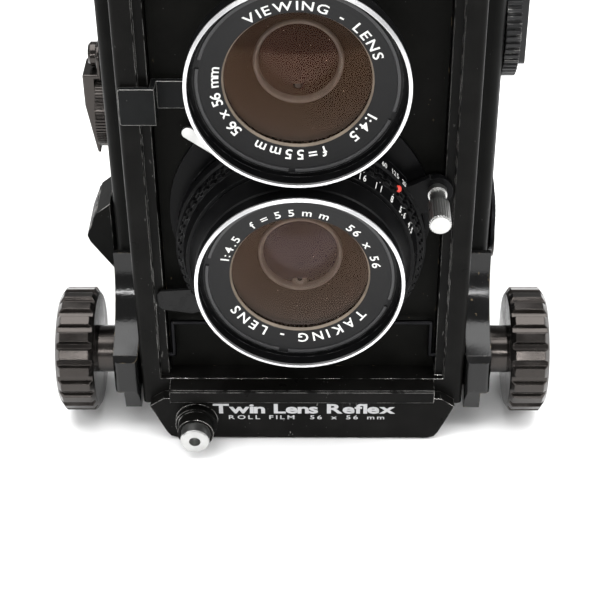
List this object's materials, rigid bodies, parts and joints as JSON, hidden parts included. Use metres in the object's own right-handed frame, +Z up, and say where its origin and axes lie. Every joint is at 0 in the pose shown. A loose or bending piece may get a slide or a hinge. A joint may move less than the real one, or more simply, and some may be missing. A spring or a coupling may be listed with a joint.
{
  "type": "twin lens reflex camera",
  "caption": "Black bellows camera with two lenses one above the other, a folding viewing hood, two focusing knobs, a winding crank and a hinged film door.",
  "frame": {"origin": "mouth of the tripod socket on the underside of the base plate, midway between the flanks", "axes": "+Z up, the lenses look along -Y, +X is to the right when the lenses face the viewer"},
  "size_m": [0.122, 0.1151, 0.2165],
  "materials": {
    "satin_black": "satin black paint",
    "standard_black": "satin black paint, worn to bright metal on the edges",
    "board_black": "fine-textured matte black paint",
    "housing_black": "gloss black enamel",
    "knob_black": "gloss black",
    "lens_black": "black anodised",
    "ring_black": "black with engraved white numbers",
    "name_black": "matte black with engraved white lettering",
    "rim_chrome": "bright chromium",
    "trim_chrome": "satin chromium",
    "lever_black": "gloss black",
    "steel": "plain steel",
    "dial_alloy": "satin aluminium",
    "dial_black": "satin black",
    "leather": "grained black leatherette",
    "bellows_leather": "pleated black leather",
    "coated_glass": "amber anti-reflection coating",
    "clear_glass": "clear",
    "ground_glass": "ground, with a fine grid",
    "mirror_glass": "front-silvered",
    "gate_black": "dull black",
    "iris_steel": "blackened spring steel",
    "spool_black": "moulded black",
    "leaf_black": "satin black paint"
  },
  "bodies": {
    "camera_body": {"body_casting": "satin_black", "focus_housings": "housing_black", "base_plate": "satin_black", "tripod_socket": "steel", "side_leathers": "leather", "film_gate": "gate_black", "film_guide_bars": "steel", "reflex_mirror": "mirror_glass", "focusing_screen": "ground_glass", "screen_frame": "satin_black", "hood_frame": "satin_black", "strap_lugs": "trim_chrome", "body_screws": "steel", "bellows": "bellows_leather", "door_hinge_pin": "steel"},
    "film_door": {"back_door": "satin_black", "back_leather": "leather", "pressure_plate": "gate_black", "pressure_spring": "steel"},
    "reminder_dial": {"reminder_dial": "dial_alloy"},
    "door_latch": {"door_latch": "trim_chrome"},
    "take_up_spool": {"take_up_spool": "spool_black"},
    "supply_spool": {"supply_spool": "spool_black"},
    "spool_knob_upper": {"spool_knob_upper": "knob_black"},
    "spool_knob_lower": {"spool_knob_lower": "knob_black"},
    "film_crank": {"crank_disc": "knob_black", "crank_arm": "knob_black"},
    "crank_knob": {"crank_knob": "knob_black"},
    "counter_dial": {"counter_dial": "ring_black"},
    "side_release": {"side_release": "satin_black"},
    "lens_lock_dial": {"lens_lock_dial": "dial_black"},
    "distance_scale": {"distance_scale": "dial_alloy"},
    "focus_drive": {"focus_shaft": "steel", "focus_knobs": "knob_black"},
    "front_standard": {"front_standard": "standard_black", "focus_racks": "steel", "lower_apron": "standard_black", "lens_board": "board_black", "shutter_housing": "lens_black", "taking_barrel": "lens_black", "viewing_barrel": "lens_black", "lens_rims": "rim_chrome", "name_rings": "name_black", "front_elements": "coated_glass", "rear_elements": "coated_glass", "iris_blades": "iris_steel", "flash_socket": "trim_chrome"},
    "cocking_arm": {"cocking_arm": "satin_black"},
    "cocking_lever": {"cocking_lever": "trim_chrome"},
    "release_lever": {"release_lever": "lever_black"},
    "release_button": {"release_button": "trim_chrome"},
    "retaining_wire": {"retaining_wire": "steel"},
    "speed_ring": {"speed_ring": "ring_black"},
    "aperture_ring": {"aperture_ring": "ring_black"},
    "hood_lid": {"hood_lid": "leaf_black"},
    "hood_flap_left": {"hood_flap_left": "leaf_black"},
    "hood_flap_right": {"hood_flap_right": "leaf_black"},
    "hood_flap_rear": {"hood_flap_rear": "leaf_black"},
    "magnifier": {"magnifier_arm": "leaf_black", "magnifier_lens": "clear_glass"}
  },
  "joints": [
    {"name": "focus_travel", "type": "slide", "parent": "camera_body", "child": "front_standard", "axis": [0, -1, 0], "range_m": [0, 0.06], "deforming": ["bellows"]},
    {"name": "focus_turn", "type": "hinge", "parent": "camera_body", "child": "focus_drive", "pos_m": [0, -0.0335, 0.017], "axis": [-1, 0, 0], "range_deg": [0, 985]},
    {"name": "film_wind", "type": "hinge", "parent": "camera_body", "child": "film_crank", "pos_m": [-0.048, -0.008, 0.073], "axis": [-1, 0, 0], "range_deg": [0, 360]},
    {"name": "crank_grip_spin", "type": "hinge", "parent": "film_crank", "child": "crank_knob", "pos_m": [-0.0503, -0.008, 0.0878], "axis": [-1, 0, 0], "continuous": true},
    {"name": "take_up_turn", "type": "hinge", "parent": "camera_body", "child": "take_up_spool", "pos_m": [0, 0.02, 0.101], "axis": [-1, 0, 0], "range_deg": [0, 470]},
    {"name": "supply_turn", "type": "hinge", "parent": "camera_body", "child": "supply_spool", "pos_m": [0, 0.02, 0.016], "axis": [-1, 0, 0], "range_deg": [0, 330]},
    {"name": "counter_turn", "type": "hinge", "parent": "camera_body", "child": "counter_dial", "pos_m": [-0.047, 0.02, 0.11], "axis": [-1, 0, 0], "range_deg": [0, 30]},
    {"name": "cocking_arm_travel", "type": "slide", "parent": "front_standard", "child": "cocking_arm", "axis": [0, 0, -1], "range_m": [0, 0.005]},
    {"name": "shutter_cocking", "type": "hinge", "parent": "front_standard", "child": "cocking_lever", "pos_m": [0, -0.043, 0.058], "axis": [0, -1, 0], "range_deg": [0, 10]},
    {"name": "release_press", "type": "slide", "parent": "front_standard", "child": "release_button", "axis": [0, 1, 0], "range_m": [0, 0.0028], "stiffness_N_per_m": 300, "springref_m": -0.001},
    {"name": "release_lever_turn", "type": "hinge", "parent": "front_standard", "child": "release_lever", "pos_m": [0, -0.0452, 0.058], "axis": [0, -1, 0], "range_deg": [0, 8.5]},
    {"name": "retaining_wire_swing", "type": "hinge", "parent": "front_standard", "child": "retaining_wire", "pos_m": [0, -0.043, 0.023], "axis": [1, 0, 0], "range_deg": [0, 75]},
    {"name": "speed_ring_turn", "type": "hinge", "parent": "front_standard", "child": "speed_ring", "pos_m": [0, -0.048, 0.058], "axis": [0, -1, 0], "range_deg": [-60, 60]},
    {"name": "aperture_ring_turn", "type": "hinge", "parent": "front_standard", "child": "aperture_ring", "pos_m": [0, -0.051, 0.058], "axis": [0, -1, 0], "range_deg": [-45, 45]},
    {"name": "side_release_press", "type": "slide", "parent": "camera_body", "child": "side_release", "axis": [0, 0, -1], "range_m": [0, 0.003], "stiffness_N_per_m": 400, "springref_m": -0.001},
    {"name": "lens_lock_turn", "type": "hinge", "parent": "camera_body", "child": "lens_lock_dial", "pos_m": [0.048, -0.008, 0.1], "axis": [1, 0, 0], "range_deg": [0, 90]},
    {"name": "distance_scale_turn", "type": "hinge", "parent": "camera_body", "child": "distance_scale", "pos_m": [0.048, -0.014, 0.046], "axis": [1, 0, 0], "range_deg": [0, 300]},
    {"name": "upper_knob_pull", "type": "slide", "parent": "camera_body", "child": "spool_knob_upper", "axis": [1, 0, 0], "range_m": [0, 0.007]},
    {"name": "lower_knob_pull", "type": "slide", "parent": "camera_body", "child": "spool_knob_lower", "axis": [1, 0, 0], "range_m": [0, 0.007]},
    {"name": "film_door_swing", "type": "hinge", "parent": "camera_body", "child": "film_door", "pos_m": [0, 0.0514, 0.0026], "axis": [-1, 0, 0], "range_deg": [0, 90]},
    {"name": "door_latch_slide", "type": "slide", "parent": "film_door", "child": "door_latch", "axis": [1, 0, 0], "range_m": [0, 0.005]},
    {"name": "reminder_dial_turn", "type": "hinge", "parent": "film_door", "child": "reminder_dial", "pos_m": [0, 0.051, 0.096], "axis": [0, 1, 0], "range_deg": [0, 330]},
    {"name": "hood_lid_fold", "type": "hinge", "parent": "camera_body", "child": "hood_lid", "pos_m": [0, -0.025, 0.157], "axis": [1, 0, 0], "range_deg": [-90, 0], "stiffness_Nm_per_rad": 0.02, "springref_deg": 34.38},
    {"name": "left_flap_fold", "type": "hinge", "parent": "camera_body", "child": "hood_flap_left", "pos_m": [-0.033, 0.01, 0.147], "axis": [0, -1, 0], "range_deg": [-90, 0], "stiffness_Nm_per_rad": 0.02, "springref_deg": 34.38},
    {"name": "right_flap_fold", "type": "hinge", "parent": "camera_body", "child": "hood_flap_right", "pos_m": [0.033, 0.01, 0.1495], "axis": [0, 1, 0], "range_deg": [-90, 0], "stiffness_Nm_per_rad": 0.02, "springref_deg": 34.38},
    {"name": "rear_flap_fold", "type": "hinge", "parent": "camera_body", "child": "hood_flap_rear", "pos_m": [0, 0.036, 0.152], "axis": [-1, 0, 0], "range_deg": [-90, 0], "stiffness_Nm_per_rad": 0.02, "springref_deg": 34.38},
    {"name": "magnifier_swing", "type": "hinge", "parent": "hood_lid", "child": "magnifier", "pos_m": [0, -0.0224, 0.211], "axis": [1, 0, 0], "range_deg": [0, 90]}
  ],
  "couplings": [
    {"joint": "focus_turn", "follows": "focus_travel", "rad_per_m": 285.71},
    {"joint": "take_up_turn", "follows": "film_wind", "ratio": 1.3},
    {"joint": "supply_turn", "follows": "film_wind", "ratio": 0.9},
    {"joint": "counter_turn", "follows": "film_wind", "ratio": 0.0769},
    {"joint": "cocking_arm_travel", "follows": "film_wind", "m_per_rad": 0.00079},
    {"joint": "shutter_cocking", "follows": "film_wind", "ratio": 0.0275},
    {"joint": "release_lever_turn", "follows": "release_press", "rad_per_m": 50}
  ]
}
